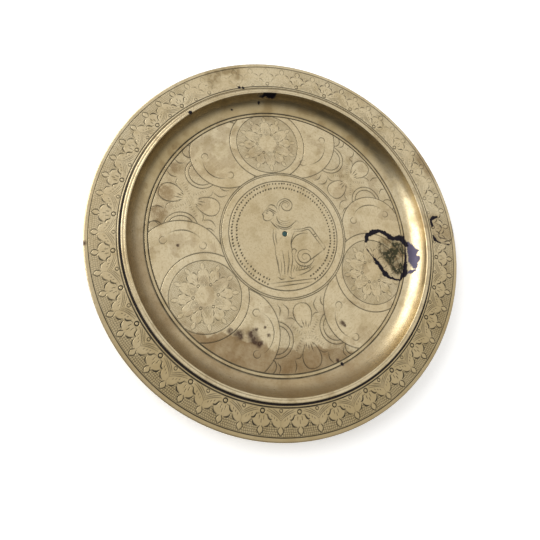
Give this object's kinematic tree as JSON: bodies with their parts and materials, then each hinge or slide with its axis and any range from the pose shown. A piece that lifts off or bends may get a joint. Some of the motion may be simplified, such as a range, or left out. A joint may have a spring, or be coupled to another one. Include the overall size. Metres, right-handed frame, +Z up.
{
  "type": "paten plate",
  "caption": "Shallow round brass plate with a flat engraved rim, a turned bead around the well, a hollow wall and a flat engraved floor with a plugged centre.",
  "frame": {"origin": "centre of the face that the plate rests on", "axes": "+Z up through the middle of the plate, out of its well; +X and +Y lie in the resting face, and one of the three engraved roundels lies near +Y"},
  "size_m": [0.2, 0.2, 0.0111],
  "materials": {
    "engraved_brass": "aged, soft polish, dark in the engraved lines",
    "tarnished_plug": "tarnished dull green"
  },
  "bodies": {
    "root": {"plate_body": "engraved_brass", "centre_plug": "tarnished_plug"}
  },
  "joints": []
}
